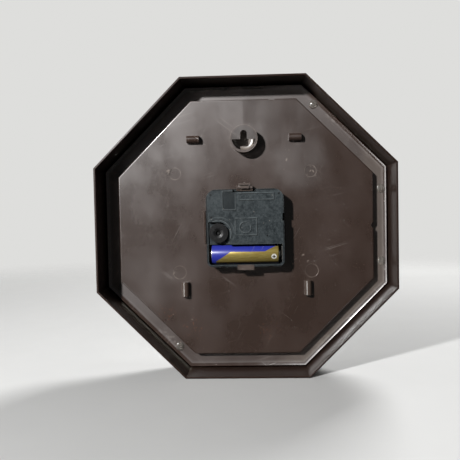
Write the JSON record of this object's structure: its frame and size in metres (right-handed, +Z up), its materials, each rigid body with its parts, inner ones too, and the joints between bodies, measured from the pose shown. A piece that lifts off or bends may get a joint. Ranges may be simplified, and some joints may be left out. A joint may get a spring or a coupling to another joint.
{
  "type": "octagonal wall clock",
  "caption": "Octagonal battery wall clock with a moulded frame, a raised back plate with a nail hanger, and a snap-in quartz movement with a full gear train.",
  "frame": {"origin": "on the wall plane (the plane of the rear rim) at the centre of the nail hanger", "axes": "+Z up, +Y towards the wall, -Y towards the room, which the dial faces; +X to the left seen from behind"},
  "size_m": [0.216, 0.04, 0.216],
  "materials": {
    "case_plastic": "glossy dark brown injection moulding",
    "plate_plastic": "satin dark brown injection moulding",
    "clear_lens": "clear moulded window",
    "dial_card": "printed cream sheet",
    "clear_glue": "clear hot-melt drop",
    "movement_plastic": "fine-textured slate grey moulding",
    "nylon": "natural moulded nylon",
    "board_laminate": "green printed circuit laminate",
    "tinned_metal": "tinned spring strip",
    "black_resin": "black epoxy drop",
    "copper_wire": "enamelled copper winding",
    "stator_steel": "punched soft iron",
    "cell_label": "metallised gold and blue sleeve",
    "knob_plastic": "glossy black moulding",
    "hand_black": "black painted aluminium",
    "hand_red": "red painted aluminium"
  },
  "bodies": {
    "case": {"case_frame": "case_plastic", "lens": "clear_lens", "dial_ring": "case_plastic", "dial": "dial_card", "back_plate": "plate_plastic", "glue_drops": "clear_glue", "movement_case": "movement_plastic", "train_plate": "nylon", "movement_cover": "movement_plastic", "circuit_board": "board_laminate", "quartz_crystal": "tinned_metal", "chip_cover": "black_resin", "coil_bobbin": "nylon", "coil_winding": "copper_wire", "stator": "stator_steel", "negative_contact": "tinned_metal", "positive_contact": "tinned_metal"},
    "cell": {"battery": "cell_label"},
    "minute": {"minute_arbor": "nylon", "minute_hand": "hand_black"},
    "hour": {"hour_wheel": "nylon", "hour_hand": "hand_black"},
    "motion": {"motion_wheel": "nylon"},
    "knob": {"setting_knob": "knob_plastic"},
    "second": {"second_wheel": "nylon", "second_hand": "hand_red"},
    "third": {"third_wheel": "nylon"},
    "fifth": {"fifth_wheel": "nylon"},
    "motor": {"rotor": "nylon"},
    "centre": {"centre_wheel": "nylon"}
  },
  "joints": [
    {"name": "cell_slide", "type": "slide", "parent": "case", "child": "cell", "axis": [0, 1, 0], "range_m": [0, 0.025]},
    {"name": "minute_turn", "type": "hinge", "parent": "case", "child": "minute", "pos_m": [0, -0.015, -0.0645], "axis": [0, 1, 0], "continuous": true},
    {"name": "hour_turn", "type": "hinge", "parent": "case", "child": "hour", "pos_m": [0, -0.015, -0.0645], "axis": [0, 1, 0], "continuous": true},
    {"name": "motion_turn", "type": "hinge", "parent": "case", "child": "motion", "pos_m": [0.0106, -0.015, -0.06245], "axis": [0, 1, 0], "continuous": true},
    {"name": "knob_turn", "type": "hinge", "parent": "case", "child": "knob", "pos_m": [0.0194, -0.015, -0.0679], "axis": [0, 1, 0], "continuous": true},
    {"name": "second_turn", "type": "hinge", "parent": "case", "child": "second", "pos_m": [0, -0.015, -0.0645], "axis": [0, 1, 0], "continuous": true},
    {"name": "third_turn", "type": "hinge", "parent": "case", "child": "third", "pos_m": [0.00201, -0.015, -0.05312], "axis": [0, 1, 0], "continuous": true},
    {"name": "fifth_turn", "type": "hinge", "parent": "case", "child": "fifth", "pos_m": [-0.01128, -0.015, -0.0604], "axis": [0, 1, 0], "continuous": true},
    {"name": "rotor_turn", "type": "hinge", "parent": "case", "child": "motor", "pos_m": [-0.01576, -0.015, -0.05264], "axis": [0, 1, 0], "continuous": true},
    {"name": "centre_turn", "type": "hinge", "parent": "case", "child": "centre", "pos_m": [0, -0.015, -0.0645], "axis": [0, 1, 0], "continuous": true}
  ],
  "couplings": [
    {"joint": "hour_turn", "follows": "minute_turn", "ratio": 0.083333},
    {"joint": "motion_turn", "follows": "minute_turn", "ratio": -0.33333},
    {"joint": "knob_turn", "follows": "minute_turn", "ratio": 1.2},
    {"joint": "third_turn", "follows": "second_turn", "ratio": -0.13333},
    {"joint": "fifth_turn", "follows": "second_turn", "ratio": -5},
    {"joint": "rotor_turn", "follows": "second_turn", "ratio": 30},
    {"joint": "centre_turn", "follows": "second_turn", "ratio": 0.016667}
  ]
}
